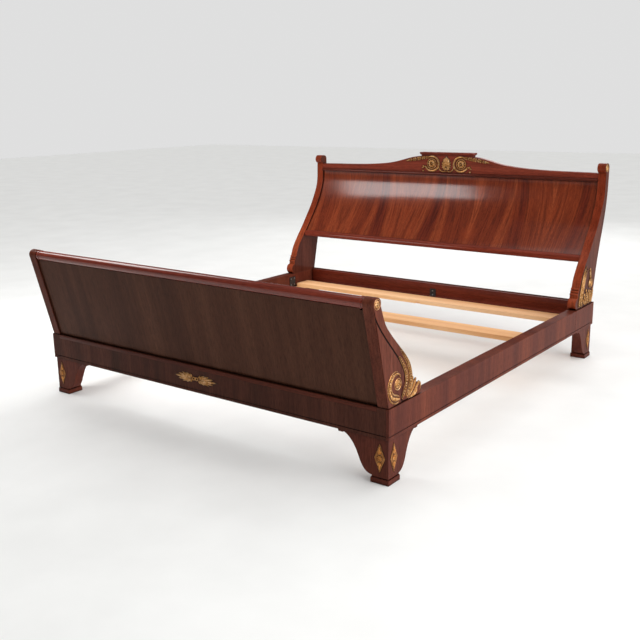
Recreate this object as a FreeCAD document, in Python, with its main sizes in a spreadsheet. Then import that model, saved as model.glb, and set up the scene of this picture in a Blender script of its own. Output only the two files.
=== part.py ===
import FreeCAD, Part

# Empire sleigh bed, king size, millimetres, +Z up, +X to the right seen from
# the foot end, +Y towards the head end, origin on the floor at the middle of
# the whole bed. Mahogany boards and mouldings with gilt carvings, a knock-down
# frame of two ends and two side rails, and loose pine slats.

import math
import os
import Sketcher

V = FreeCAD.Vector
doc = FreeCAD.newDocument("sleigh_bed")

# ---------------------------------------------------------------- dimensions

DIMENSIONS = [
    ("BedWidth", 2050, "over the outer faces of the rail bands"),
    ("FootFace", 1114, "origin to the outer face of the foot rail"),
    ("HeadFace", 1068, "origin to the outer face of the head rail"),
    ("RailBase", 190, "floor to the underside of the rails"),
    ("RailTop", 317, "floor to the top of the rails"),
    ("InnerHalf", 970, "centre line to the inner face of rails and boards"),
    ("FaceBoard", 15, "thickness of the facing boards on the end rails"),
    ("CoreBoard", 30, "thickness of the end rails behind their facing"),
    ("BeadTall", 13, "height of the bead along the underside of the rails"),
    ("Groove", 3, "width and depth of the line above the bead"),
    ("ScrollBoard", 47, "thickness of the side boards of both ends"),
    ("BoardInset", 8, "rail band to the outer face of the side boards"),
    ("SeamPlace", 800, "origin to the seam of side rail and head block"),
    ("SeamGap", 1.2, "open joint between side rail and head block"),
    ("LapEnd", 880, "origin to the inner end of the foot block"),
    ("LegSide", 78, "side of the square legs"),
    ("LegInset", 7, "rail band to the outer face of the legs"),
    ("FootTall", 26, "height of the block feet"),
    ("FootSide", 86, "side of the block feet"),
    ("WingThick", 50, "thickness of the bracket wings"),
    ("FrontWing", 160, "reach of the wings under the foot rail"),
    ("SideWing", 140, "reach of the wings under the side rails"),
    ("DiamondWide", 50, "width of the gilt lozenges"),
    ("DiamondTall", 122, "height of the gilt lozenges"),
    ("DiamondSunk", 3, "depth that the lozenges are let in"),
    ("FootEyeBack", 1187, "origin to the centre of the foot roll"),
    ("FootEyeTall", 741, "floor to the centre of the foot roll"),
    ("FootEyeRadius", 26, "radius of the scroll boards around the roll"),
    ("RollRadius", 23, "radius of the foot roll"),
    ("FootPanelThick", 26, "thickness of the foot panel"),
    ("HeadEyeBack", 1172, "origin to the centre of the head scrolls"),
    ("HeadEyeTall", 1068, "floor to the centre of the head scrolls"),
    ("HeadEyeRadius", 26, "radius of the head scrolls"),
    ("HeadBack", 1213, "origin to the rear of the headboard"),
    ("PanelBase", 577, "floor to the lower edge of the head panel"),
    ("CrestBase", 990, "floor to the lower edge of the crest rail"),
    ("CrestEnd", 1038, "floor to the crest rail's top at its ends"),
    ("CrestShoulder", 1106, "floor to the crest rail's top at the middle"),
    ("CrestThick", 38, "thickness of the crest rail"),
    ("CrestFront", 1168, "origin to the front of the crest rail"),
    ("HeadPanelThick", 24, "thickness of the head panel"),
    ("CapHalf", 190, "half the length of the shelf on the crest"),
    ("CapTop", 1133, "floor to the top of the shelf on the crest"),
    ("CapThick", 11, "thickness of the shelf on the crest"),
    ("CarvingThick", 7, "thickness of the gilt carvings"),
    ("RosetteRadius", 22, "radius of the gilt rosettes"),
    ("SlatHalf", 957, "half the length of the slats"),
    ("SlatWide", 120, "width of the slats"),
    ("SlatThick", 25, "thickness of the slats"),
    ("SlatGap", 0.3, "play between the slats and their cleats"),
    ("HeadSlat", 892, "origin to the middle of the slat at the head"),
    ("MiddleSlat", 395, "origin to the middle of the other slat"),
    ("CleatWide", 35, "width of the cleats"),
    ("CleatTop", 225, "floor to the top of the cleats"),
    ("CleatTall", 20, "height of the cleats"),
    ("PlateThick", 3, "thickness of the steel plates"),
    ("ScrewRadius", 5, "radius of the screw heads"),
    ("ScrewTall", 3, "height of the screw heads"),
]

sheet = doc.addObject("Spreadsheet::Sheet", "Sheet")
for row, (alias, value, note) in enumerate(DIMENSIONS, start=1):
    sheet.set("A%d" % row, alias)
    sheet.set("B%d" % row, str(value))
    sheet.set("C%d" % row, note)
    sheet.setAlias("B%d" % row, alias)
doc.recompute()


def size(alias):
    """A dimension of the sheet as a number."""
    return float(sheet.get(alias))


# Places worked out from the sheet, used by more than one piece.
half_width = size("BedWidth") / 2
board_face = half_width - size("BoardInset")
leg_face = half_width - size("LegInset")
rail_top = size("RailTop")
rail_base = size("RailBase")
foot_eye = (-size("FootEyeBack"), size("FootEyeTall"))
head_eye = (size("HeadEyeBack"), size("HeadEyeTall"))

SIDES = {"left": -1, "right": 1}
parts = []

# ------------------------------------------------------------------- helpers


def keep(piece):
    """Notes a finished piece for the checks and the export."""
    parts.append(piece)
    return piece


def new_body(label):
    """An empty PartDesign body that carries the piece's name."""
    body = doc.addObject("PartDesign::Body", label)
    body.Label = label
    return body


def origin_plane(body, role):
    """One of the body's own base planes."""
    for feature in body.Origin.OriginFeatures:
        if feature.Role == role:
            return feature
    raise ValueError(role)


def add_sketch(body, name, role, edges, offset=None):
    """A sketch on a base plane, lifted off it by an expression in the sheet."""
    sketch = body.newObject("Sketcher::SketchObject", name)
    sketch.AttachmentSupport = [(origin_plane(body, role), "")]
    sketch.MapMode = "FlatFace"
    if offset:
        sketch.setExpression("AttachmentOffset.Base.z", offset)
    for edge in edges:
        sketch.addGeometry(edge, False)
    doc.recompute()
    return sketch


def add_pad(body, sketch, length):
    """A pad of the sketch along its plane's normal."""
    pad = body.newObject("PartDesign::Pad", sketch.Name + "_pad")
    pad.Profile = sketch
    pad.setExpression("Length", length)
    doc.recompute()
    return pad


def add_pocket(body, sketch, length):
    """A pocket into the body, against its plane's normal, that must cut."""
    before = body.Shape.Volume
    pocket = body.newObject("PartDesign::Pocket", sketch.Name + "_pocket")
    pocket.Profile = sketch
    pocket.setExpression("Length", length)
    doc.recompute()
    if body.Shape.Volume > before - 1.0:
        raise RuntimeError(sketch.Name + " cuts nothing")
    return pocket


def lines(points, closed=True):
    """Straight sketch edges through the points."""
    ends = points[1:] + points[:1] if closed else points[1:]
    return [Part.LineSegment(V(*a, 0), V(*b, 0)) for a, b in zip(points, ends)]


def curve(points):
    """One smooth sketch edge through the points."""
    spline = Part.BSplineCurve()
    spline.interpolate([V(*point, 0) for point in points])
    return spline


def arc(first, middle, last):
    """A sketch edge along the circle through three points."""
    return Part.Arc(V(*first, 0), V(*middle, 0), V(*last, 0))


def around(centre, radius, degrees):
    """The point of a circle at an angle from the first sketch axis."""
    turn = math.radians(degrees)
    return (centre[0] + radius * math.cos(turn), centre[1] + radius * math.sin(turn))


def box(label, corner, lengths):
    """A Part::Box with each size and place bound to the sheet."""
    block = doc.addObject("Part::Box", label)
    block.Label = label
    for name, length in zip(("Length", "Width", "Height"), lengths):
        block.setExpression(name, length)
    for name, place in zip(("x", "y", "z"), corner):
        block.setExpression("Placement.Base." + name, place)
    return block


def sided(side, low, thickness):
    """The lower X of a piece from low outwards, on either side of the bed."""
    if side > 0:
        return low
    return "-(%s) - (%s)" % (low, thickness)


def compound(label, solids):
    """One node that holds several separate solids made by Part features."""
    group = doc.addObject("Part::Compound", label)
    group.Label = label
    group.Links = solids
    return keep(group)


# ---------------------------------------------------------------------- legs


def block_foot(label, side, end):
    """Square foot block with a chamfered upper edge, under one leg."""
    body = new_body(label)
    grow = (size("FootSide") - size("LegSide")) / 2
    middle_x = side * (leg_face - size("LegSide") / 2)
    middle_y = leg_middle(end)
    reach = size("LegSide") / 2 + grow
    corners = [
        (middle_x - reach, middle_y - reach),
        (middle_x + reach, middle_y - reach),
        (middle_x + reach, middle_y + reach),
        (middle_x - reach, middle_y + reach),
    ]
    sketch = add_sketch(body, label + "_plan", "XY_Plane", lines(corners))
    pad = add_pad(body, sketch, "Sheet.FootTall")
    top = [
        "Edge%d" % (index + 1)
        for index, edge in enumerate(pad.Shape.Edges)
        if min(vertex.Z for vertex in edge.Vertexes) > size("FootTall") - 0.01
    ]
    chamfer = body.newObject("PartDesign::Chamfer", label + "_chamfer")
    chamfer.Base = (pad, top)
    chamfer.setExpression("Size", "(Sheet.FootSide - Sheet.LegSide) / 2")
    doc.recompute()
    return keep(body)


def leg_middle(end):
    """The Y of a leg's axis: end is -1 at the foot and 1 at the head."""
    face = size("FootFace") if end < 0 else size("HeadFace")
    return end * (face - size("LegInset") - size("LegSide") / 2)


def lozenge(centre, extra=0.0):
    """The four corners of a lozenge around a centre in a face."""
    wide = size("DiamondWide") / 2 + extra
    tall = size("DiamondTall") / 2 + extra * 2
    return [
        (centre[0], centre[1] - tall),
        (centre[0] + wide, centre[1]),
        (centre[0], centre[1] + tall),
        (centre[0] - wide, centre[1]),
    ]


LOZENGE_HEIGHT = 108.0
LOZENGE_PLAY = 1.0


def leg(label, side, end):
    """Square leg between foot block and rail, sunk for its gilt lozenges."""
    body = new_body(label)
    middle_x = side * (leg_face - size("LegSide") / 2)
    middle_y = leg_middle(end)
    reach = size("LegSide") / 2
    corners = [
        (middle_x - reach, middle_y - reach),
        (middle_x + reach, middle_y - reach),
        (middle_x + reach, middle_y + reach),
        (middle_x - reach, middle_y + reach),
    ]
    plan = add_sketch(body, label + "_plan", "XY_Plane", lines(corners), "Sheet.FootTall")
    add_pad(body, plan, "Sheet.RailBase - Sheet.FootTall")
    sunk = lozenge((middle_y, LOZENGE_HEIGHT), LOZENGE_PLAY)
    place = "Sheet.BedWidth / 2 - Sheet.LegInset"
    offset = place if side > 0 else "-(%s) + Sheet.DiamondSunk" % place
    face = add_sketch(body, label + "_side", "YZ_Plane", lines(sunk), offset)
    add_pocket(body, face, "Sheet.DiamondSunk")
    if end < 0:
        sunk = lozenge((middle_x, LOZENGE_HEIGHT), LOZENGE_PLAY)
        front = "Sheet.FootFace - Sheet.LegInset"
        face = add_sketch(body, label + "_front", "XZ_Plane", lines(sunk), front)
        add_pocket(body, face, "Sheet.DiamondSunk")
    return keep(body)


def lozenge_pad(label, role, centre, offset):
    """One gilt lozenge, let in and standing a little proud of the leg."""
    body = new_body(label)
    sketch = add_sketch(body, label + "_outline", role, lines(lozenge(centre)), offset)
    add_pad(body, sketch, "Sheet.DiamondSunk + 2")
    return body


def lozenges(label, side, end):
    """The gilt lozenges of one leg: outer side, and the front at the foot."""
    middle_x = side * (leg_face - size("LegSide") / 2)
    middle_y = leg_middle(end)
    place = "Sheet.BedWidth / 2 - Sheet.LegInset"
    if side > 0:
        offset = place + " - Sheet.DiamondSunk"
    else:
        offset = "-(%s) - 2" % place
    centre = (middle_y, LOZENGE_HEIGHT)
    solids = [lozenge_pad(label + "_side", "YZ_Plane", centre, offset)]
    if end < 0:
        offset = "Sheet.FootFace - Sheet.LegInset - Sheet.DiamondSunk"
        centre = (middle_x, LOZENGE_HEIGHT)
        solids.append(lozenge_pad(label + "_front", "XZ_Plane", centre, offset))
    compound(label, solids)


def wing_edges(start, direction, reach):
    """Outline of a bracket wing: an ogee from the leg out to a small stop."""
    scale = reach / size("FrontWing")
    base = size("FootTall") + 4

    def at(distance, height):
        return (start + direction * distance * scale, height)

    ogee = [at(0, base), at(27, 40), at(47, 63), at(66, 104), at(94, 152), at(132, 182)]
    stop = [at(132, 182), at(136, 178), at(158, 178), at(160, 180), at(160, rail_base)]
    back = [at(160, rail_base), at(0, rail_base), at(0, base)]
    return [curve(ogee)] + lines(stop, False) + lines(back, False)


def front_wing(label, side):
    """Bracket wing beside a foot leg, under the foot rail."""
    body = new_body(label)
    start = side * (leg_face - size("LegSide"))
    edges = wing_edges(start, -side, size("FrontWing"))
    offset = "Sheet.FootFace - Sheet.LegInset - Sheet.WingThick"
    sketch = add_sketch(body, label + "_outline", "XZ_Plane", edges, offset)
    add_pad(body, sketch, "Sheet.WingThick")
    return keep(body)


def side_wing(label, side, end):
    """Bracket wing beside a leg, under the side rail."""
    body = new_body(label)
    start = leg_middle(end) - end * size("LegSide") / 2
    edges = wing_edges(start, -end, size("SideWing"))
    low = "Sheet.BedWidth / 2 - Sheet.LegInset - Sheet.WingThick"
    offset = sided(side, low, "Sheet.WingThick")
    sketch = add_sketch(body, label + "_outline", "YZ_Plane", edges, offset)
    add_pad(body, sketch, "Sheet.WingThick")
    return keep(body)


# --------------------------------------------------------------------- rails


def band_outline(outer, inner, top):
    """Section of a rail: a flat band, and a line above the bead at its base."""
    sink = outer - math.copysign(size("Groove"), outer - inner)
    line_low = rail_base + size("BeadTall")
    line_high = line_low + size("Groove")
    return [
        (inner, rail_base),
        (outer, rail_base),
        (outer, line_low),
        (sink, line_low),
        (sink, line_high),
        (outer, line_high),
        (outer, top),
        (inner, top),
    ]


def side_rail(label, side):
    """Side rail, its outer face lapping over the foot block to the corner."""
    body = new_body(label)
    section = band_outline(side * half_width, side * size("InnerHalf"), rail_top)
    offset = "-Sheet.SeamPlace + Sheet.SeamGap"
    sketch = add_sketch(body, label + "_section", "XZ_Plane", lines(section), offset)
    add_pad(body, sketch, "Sheet.SeamPlace - Sheet.SeamGap + Sheet.FootFace")
    lap = half_width - size("FaceBoard")
    near = side * (size("InnerHalf") - 10)
    far = side * lap
    notch = [
        (near, -size("FootFace") - 10),
        (far, -size("FootFace") - 10),
        (far, -size("LapEnd")),
        (near, -size("LapEnd")),
    ]
    plan = add_sketch(body, label + "_lap", "XY_Plane", lines(notch), "Sheet.RailTop")
    add_pocket(body, plan, "Sheet.RailTop - Sheet.RailBase")
    return keep(body)


def foot_block(label, side):
    """Corner block of the foot end, behind the side rail's lapping face."""
    width = "Sheet.BedWidth / 2 - Sheet.FaceBoard - Sheet.InnerHalf"
    corner = (
        sided(side, "Sheet.InnerHalf", width),
        "-Sheet.FootFace + Sheet.FaceBoard",
        "Sheet.RailBase",
    )
    length = "Sheet.FootFace - Sheet.FaceBoard - Sheet.LapEnd"
    keep(box(label, corner, (width, length, "Sheet.RailTop - Sheet.RailBase")))


def head_block(label, side):
    """Corner block of the head end, with the band's bead on its outer face."""
    body = new_body(label)
    section = band_outline(side * half_width, side * size("InnerHalf"), rail_top)
    offset = "-Sheet.HeadFace + Sheet.FaceBoard"
    sketch = add_sketch(body, label + "_section", "XZ_Plane", lines(section), offset)
    add_pad(body, sketch, "Sheet.HeadFace - Sheet.FaceBoard - Sheet.SeamPlace")
    return keep(body)


def foot_rail():
    """Foot rail: a plain core and a facing with the band and its bead."""
    corner = ("-Sheet.InnerHalf", "-Sheet.FootFace + Sheet.FaceBoard", "Sheet.RailBase")
    lengths = ("2 * Sheet.InnerHalf", "Sheet.CoreBoard", "Sheet.RailTop - Sheet.RailBase")
    keep(box("foot_rail_core", corner, lengths))
    body = new_body("foot_rail_face")
    outer = -size("FootFace")
    section = band_outline(outer, outer + size("FaceBoard"), rail_top)
    offset = "-Sheet.BedWidth / 2 + Sheet.FaceBoard"
    sketch = add_sketch(body, "foot_rail_section", "YZ_Plane", lines(section), offset)
    add_pad(body, sketch, "Sheet.BedWidth - 2 * Sheet.FaceBoard")
    keep(body)


def head_rail():
    """Head rail: a plain core, and a facing across the whole back."""
    place = "Sheet.HeadFace - Sheet.FaceBoard - Sheet.CoreBoard"
    corner = ("-Sheet.InnerHalf", place, "Sheet.RailBase")
    lengths = ("2 * Sheet.InnerHalf", "Sheet.CoreBoard", "Sheet.RailTop - Sheet.RailBase")
    keep(box("head_rail_core", corner, lengths))
    body = new_body("head_rail_face")
    outer = size("HeadFace")
    section = band_outline(outer, outer - size("FaceBoard"), rail_top + 3)
    offset = "-Sheet.BedWidth / 2"
    sketch = add_sketch(body, "head_rail_section", "YZ_Plane", lines(section), offset)
    add_pad(body, sketch, "Sheet.BedWidth")
    keep(body)


# ------------------------------------------------------------------ foot end

# The foot end's side boards, as distance from the origin and height: the
# straight edge that leans out to the foot, and the S curve to the head side.
FOOT_TOE = (-1110.0, 317.0)
FOOT_SWEEP = [
    (-1131, 657),
    (-1088, 606),
    (-1030, 549),
    (-987, 501),
    (-956, 460),
    (-941, 418),
]
FOOT_CURL = [(-941, 418), (-928, 394), (-903, 374), (-879, 356), (-868, 336), (-874, 317)]


def foot_board(label, side):
    """Side board of the foot end: leaning edge, round top and S curve."""
    body = new_body(label)
    radius = size("FootEyeRadius")
    near = around(foot_eye, radius, 193)
    top = around(foot_eye, radius, 90)
    far = around(foot_eye, radius, -20)
    edges = lines([FOOT_TOE, near], False)
    edges.append(arc(near, top, far))
    edges.append(curve([far] + FOOT_SWEEP))
    edges.append(curve(FOOT_CURL))
    edges += lines([FOOT_CURL[-1], FOOT_TOE], False)
    offset = sided(side, "Sheet.InnerHalf", "Sheet.ScrollBoard")
    sketch = add_sketch(body, label + "_outline", "YZ_Plane", edges, offset)
    add_pad(body, sketch, "Sheet.ScrollBoard")
    return keep(body)


# The raised border follows the S curve and turns under towards the foot.
BORDER_OUTER = [(-1161, 703), (-1133, 654), (-1090, 604), (-1032, 546), (-1016, 529)]
BORDER_INNER = [(-1054, 510), (-1078, 538), (-1134, 597), (-1177, 650), (-1194, 676)]
BORDER_TALL = 4.0


def border_band(label, side):
    """Raised border along the upper S curve of a foot board's outer face."""
    body = new_body(label)
    edges = [curve(BORDER_OUTER)]
    edges += lines([BORDER_OUTER[-1], BORDER_INNER[0]], False)
    edges.append(curve(BORDER_INNER))
    edges += lines([BORDER_INNER[-1], BORDER_OUTER[0]], False)
    low = "Sheet.InnerHalf + Sheet.ScrollBoard"
    offset = sided(side, low, str(BORDER_TALL))
    sketch = add_sketch(body, label + "_outline", "YZ_Plane", edges, offset)
    add_pad(body, sketch, str(BORDER_TALL))
    return keep(body)


# The roll's two beads, their distance from the side boards, their length and
# how proud they stand, and the joint between the roll and the panel under it.
BEAD_PLACE = 18
BEAD_LONG = 9
BEAD_PROUD = 2
ROLL_GAP = 1.0


def foot_panel():
    """Flat panel that leans out from the foot rail up to the roll."""
    body = new_body("foot_panel")
    near = around(foot_eye, size("FootEyeRadius"), 193)
    lean = (near[0] - FOOT_TOE[0]) / (near[1] - FOOT_TOE[1])
    thick = size("FootPanelThick")
    recess = 9
    hollow = size("RollRadius") + ROLL_GAP
    top = foot_eye[1] - math.sqrt(hollow**2 - (thick / 2) ** 2)
    low_front = FOOT_TOE[0] + recess
    high_front = low_front + lean * (top - rail_top)
    crown = (high_front + thick / 2, foot_eye[1] - hollow)
    edges = lines([(low_front, rail_top), (high_front, top)], False)
    edges.append(arc((high_front, top), crown, (high_front + thick, top)))
    back = [(high_front + thick, top), (low_front + thick, rail_top), (low_front, rail_top)]
    edges += lines(back, False)
    offset = "-Sheet.InnerHalf"
    sketch = add_sketch(body, "foot_panel_section", "YZ_Plane", edges, offset)
    add_pad(body, sketch, "2 * Sheet.InnerHalf")
    notches = []
    low = crown[1] - BEAD_PROUD
    high = top + 9
    for side in SIDES.values():
        near = side * (size("InnerHalf") - BEAD_PLACE - 0.5)
        far = side * (size("InnerHalf") - BEAD_PLACE + BEAD_LONG + 0.5)
        notches += lines([(near, low), (far, low), (far, high), (near, high)])
    place = "Sheet.FootEyeBack + 40"
    relief = add_sketch(body, "foot_panel_relief", "XZ_Plane", notches, place)
    add_pocket(body, relief, "80")
    keep(body)


def foot_roll():
    """Round roll along the top of the foot end, with a bead at each end."""
    roll = doc.addObject("Part::Cylinder", "roll_bar")
    roll.setExpression("Radius", "Sheet.RollRadius")
    roll.setExpression("Height", "2 * Sheet.InnerHalf")
    rings = []
    for side in (-1, 1):
        ring = doc.addObject("Part::Cylinder", "roll_bead_%s" % ("low" if side < 0 else "high"))
        ring.setExpression("Radius", "Sheet.RollRadius + %d" % BEAD_PROUD)
        ring.Height = BEAD_LONG
        low = "Sheet.InnerHalf - %d" % BEAD_PLACE
        ring.setExpression("Placement.Base.x", sided(side, low, str(BEAD_LONG)))
        rings.append(ring)
    roll.setExpression("Placement.Base.x", "-Sheet.InnerHalf")
    for piece in [roll] + rings:
        piece.Placement.Rotation = FreeCAD.Rotation(V(0, 1, 0), 90)
        piece.setExpression("Placement.Base.y", "-Sheet.FootEyeBack")
        piece.setExpression("Placement.Base.z", "Sheet.FootEyeTall")
    fuse = doc.addObject("Part::MultiFuse", "foot_roll")
    fuse.Label = "foot_roll"
    fuse.Shapes = [roll] + rings
    keep(fuse)


def rosette(label, side, back, height, low):
    """Gilt rosette on the end of a scroll: a low dome with a raised eye."""
    dome = doc.addObject("Part::Cone", label + "_dome")
    dome.setExpression("Radius1", "Sheet.RosetteRadius")
    dome.setExpression("Radius2", "Sheet.RosetteRadius * 0.75")
    dome.Height = 4
    eye = doc.addObject("Part::Cone", label + "_eye")
    eye.setExpression("Radius1", "Sheet.RosetteRadius * 0.35")
    eye.setExpression("Radius2", "Sheet.RosetteRadius * 0.2")
    eye.Height = 6
    for piece in (dome, eye):
        piece.Placement.Rotation = FreeCAD.Rotation(V(0, 1, 0), 90 * side)
        piece.setExpression("Placement.Base.x", "%d * (%s)" % (side, low))
        piece.setExpression("Placement.Base.y", back)
        piece.setExpression("Placement.Base.z", height)
    fuse = doc.addObject("Part::MultiFuse", label)
    fuse.Label = label
    fuse.Shapes = [dome, eye]
    keep(fuse)


def carved(label, side, outlines):
    """Gilt carving on a board's outer face, one solid for each outline."""
    low = "Sheet.InnerHalf + Sheet.ScrollBoard"
    offset = sided(side, low, "Sheet.CarvingThick")
    solids = []
    for name, edges in outlines:
        body = new_body(label + "_" + name)
        sketch = add_sketch(body, body.Name + "_outline", "YZ_Plane", edges, offset)
        add_pad(body, sketch, "Sheet.CarvingThick")
        solids.append(body)
    compound(label, solids)


def closed_curve(points):
    """One closed smooth edge through the points."""
    spline = Part.BSplineCurve()
    spline.interpolate([V(*point, 0) for point in points], True)
    return [spline]


FOOT_VOLUTE = [
    (-1040, 444),
    (-1064, 452),
    (-1092, 441),
    (-1112, 414),
    (-1111, 378),
    (-1092, 345),
    (-1062, 327),
    (-1038, 326),
    (-1034, 348),
    (-1062, 358),
    (-1085, 380),
    (-1091, 404),
    (-1080, 427),
    (-1060, 436),
]
FOOT_RIBBON = [
    (-1008, 512),
    (-984, 486),
    (-962, 450),
    (-954, 418),
    (-958, 384),
    (-972, 352),
    (-990, 330),
    (-1006, 334),
    (-996, 366),
    (-992, 398),
    (-994, 432),
    (-1004, 462),
    (-1022, 492),
]
FOOT_LEAF = [
    (-978, 327),
    (-960, 352),
    (-944, 384),
    (-925, 396),
    (-922, 378),
    (-900, 372),
    (-882, 354),
    (-872, 334),
    (-888, 326),
    (-930, 327),
]


def foot_carving(label, side):
    """Gilt volute, ribbon and fan of leaves at the foot of a side board."""
    boss = Part.Circle(V(-1042, 398, 0), V(0, 0, 1), 22)
    outlines = [
        ("volute", closed_curve(FOOT_VOLUTE)),
        ("boss", [boss]),
        ("ribbon", closed_curve(FOOT_RIBBON)),
        ("leaf", closed_curve(FOOT_LEAF)),
    ]
    carved(label, side, outlines)


def foot_applique():
    """Gilt double leaf at the middle of the foot rail."""
    solids = []
    for name, side in SIDES.items():
        leaf = [(side * a, b) for a, b in LEAF_OUTLINE]
        body = new_body("applique_leaf_" + name)
        sketch = add_sketch(body, "leaf_" + name, "XZ_Plane", closed_curve(leaf), "Sheet.FootFace")
        add_pad(body, sketch, "5")
        solids.append(body)
    knot = new_body("applique_knot")
    band = [(-15, 247), (15, 247), (15, 263), (-15, 263)]
    sketch = add_sketch(knot, "knot", "XZ_Plane", lines(band), "Sheet.FootFace")
    add_pad(knot, sketch, "6")
    compound("foot_applique", solids + [knot])


LEAF_OUTLINE = [
    (18, 255),
    (30, 272),
    (60, 279),
    (95, 270),
    (124, 253),
    (95, 242),
    (60, 235),
    (30, 241),
]

# ------------------------------------------------------------------ head end

# The head end's side boards, as distance from the origin and height: the
# rear edge from the rail up, and the front edge from the scroll down.
HEAD_REAR = [
    (1050, 317),
    (1073, 420),
    (1109, 570),
    (1151, 700),
    (1184, 800),
    (1203, 885),
    (1210.5, 962),
    (1213, 1040),
]
HEAD_FRONT = [
    (1166, 1000),
    (1158, 905),
    (1120, 820),
    (1070, 740),
    (1040, 702),
    (978, 622),
    (947, 586),
    (897, 525),
    (866, 476),
    (852, 436),
]
KNEE_RINGS = [(852, 436), (846, 422), (839, 408), (832, 394)]
KNEE_EYE = (832.0, 349.0)
KNEE_RADIUS = 32.0


def head_board(label, side):
    """Side board of the head end: S curve from the knee to the scroll."""
    body = new_body(label)
    radius = size("HeadEyeRadius")
    rear_eye = (size("HeadBack") - radius, head_eye[1])
    shoulder = (size("HeadBack"), head_eye[1])
    crown = (rear_eye[0], rear_eye[1] + radius)
    top = (head_eye[0], head_eye[1] + radius)
    front = around(head_eye, radius, 180)
    throat = around(head_eye, radius, 260)
    edges = [curve(HEAD_REAR)]
    edges += lines([HEAD_REAR[-1], shoulder], False)
    edges.append(arc(shoulder, around(rear_eye, radius, 45), crown))
    edges += lines([crown, top], False)
    edges.append(arc(top, front, throat))
    edges.append(curve([throat] + HEAD_FRONT))
    for above, below in zip(KNEE_RINGS, KNEE_RINGS[1:]):
        middle = ((above[0] + below[0]) / 2 - 7, (above[1] + below[1]) / 2)
        edges.append(arc(above, middle, below))
    neck = around(KNEE_EYE, KNEE_RADIUS, 95)
    sole = (KNEE_EYE[0], rail_top)
    edges += lines([KNEE_RINGS[-1], neck], False)
    edges.append(arc(neck, around(KNEE_EYE, KNEE_RADIUS, 180), sole))
    edges += lines([sole, HEAD_REAR[0]], False)
    offset = sided(side, "Sheet.InnerHalf", "Sheet.ScrollBoard")
    sketch = add_sketch(body, label + "_outline", "YZ_Plane", edges, offset)
    add_pad(body, sketch, "Sheet.ScrollBoard")
    return keep(body)


# Front of the curved panel, set back from the front of the side boards.
PANEL_FRONT = [
    (951, 577),
    (992, 624),
    (1053, 702),
    (1083, 740),
    (1133, 820),
    (1168, 905),
    (1178, 990),
]


def head_panel():
    """Concave veneered panel between the side boards of the head end."""
    body = new_body("head_panel")
    thick = size("HeadPanelThick")
    rear = [(back + thick, height) for back, height in reversed(PANEL_FRONT)]
    edges = [curve(PANEL_FRONT)]
    edges += lines([PANEL_FRONT[-1], rear[0]], False)
    edges.append(curve(rear))
    edges += lines([rear[-1], PANEL_FRONT[0]], False)
    offset = "-Sheet.InnerHalf"
    sketch = add_sketch(body, "head_panel_section", "YZ_Plane", edges, offset)
    add_pad(body, sketch, "2 * Sheet.InnerHalf")
    keep(body)


def moulding(label, section):
    """A long moulding across the headboard, between the side boards."""
    body = new_body(label)
    sketch = add_sketch(body, label + "_section", "YZ_Plane", section, "-Sheet.InnerHalf")
    add_pad(body, sketch, "2 * Sheet.InnerHalf")
    return keep(body)


def crest_moulding():
    """Ovolo strip under the crest rail, in front of the panel's top edge."""
    back = PANEL_FRONT[-1][0] - 10
    base = size("CrestBase")
    section = lines([(back, base), (back, base + 17)], False)
    section.append(arc((back, base + 17), (back - 9, base + 10), (back - 3, base)))
    section += lines([(back - 3, base), (back, base)], False)
    moulding("crest_moulding", section)


def panel_moulding():
    """Rounded nosing that closes the lower edge of the curved panel."""
    base = size("PanelBase")
    low, high = PANEL_FRONT[0][0], base + 23
    foot = (low - 6, base - 14)
    bulge = (low - 5, base + 5)
    lip = (low + 19.6, high)
    edges = [arc(foot, bulge, lip)]
    back = [lip, (low - 0.4, base), (low + 26, base), (low + 26, base - 14), foot]
    moulding("panel_moulding", edges + lines(back, False))


CREST_SWEEP = [
    (212, 1106),
    (287, 1091),
    (355, 1073),
    (440, 1058),
    (520, 1050),
    (600, 1045),
    (740, 1041),
]


def crest_rail():
    """Crest rail above the panel, rising in two long curves to the middle."""
    body = new_body("crest_rail")
    inner = size("InnerHalf")
    base = size("CrestBase")
    end = size("CrestEnd")
    right = CREST_SWEEP + [(inner, end)]
    left = [(-across, height) for across, height in reversed(right)]
    rise = (size("CapHalf") - 8, size("CapTop") - size("CapThick") - 5)
    step = (size("CapHalf") - 8, size("CrestShoulder") + 2)
    middle = [left[-1], (-step[0], step[1]), (-rise[0], rise[1]), rise, step, right[0]]
    edges = [curve(left)]
    edges += lines(middle, False)
    edges.append(curve(right))
    edges += lines([right[-1], (inner, base), (-inner, base), left[0]], False)
    offset = "-Sheet.CrestFront - Sheet.CrestThick"
    sketch = add_sketch(body, "crest_outline", "XZ_Plane", edges, offset)
    add_pad(body, sketch, "Sheet.CrestThick")
    keep(body)


def crest_cap():
    """Shelf on the middle of the crest, over a narrower fillet of 5 mm."""
    under = "Sheet.CapTop - Sheet.CapThick - 5"
    fillet = box(
        "cap_fillet",
        ("-Sheet.CapHalf + 4", "Sheet.CrestFront - 4", under),
        ("2 * Sheet.CapHalf - 8", "Sheet.CrestThick + 7", "5"),
    )
    shelf = box(
        "cap_shelf",
        ("-Sheet.CapHalf", "Sheet.CrestFront - 8", "Sheet.CapTop - Sheet.CapThick"),
        ("2 * Sheet.CapHalf", "Sheet.HeadBack - Sheet.CrestFront + 8", "Sheet.CapThick"),
    )
    fuse = doc.addObject("Part::MultiFuse", "crest_cap")
    fuse.Label = "crest_cap"
    fuse.Shapes = [fillet, shelf]
    keep(fuse)


def crest_carving(label, outlines):
    """Gilt carving on the front of the crest rail, one solid an outline."""
    solids = []
    for name, edges in outlines:
        body = new_body(label + "_" + name)
        sketch = add_sketch(body, body.Name + "_outline", "XZ_Plane", edges, "-Sheet.CrestFront")
        add_pad(body, sketch, "Sheet.CarvingThick")
        solids.append(body)
    compound(label, solids)


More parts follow.
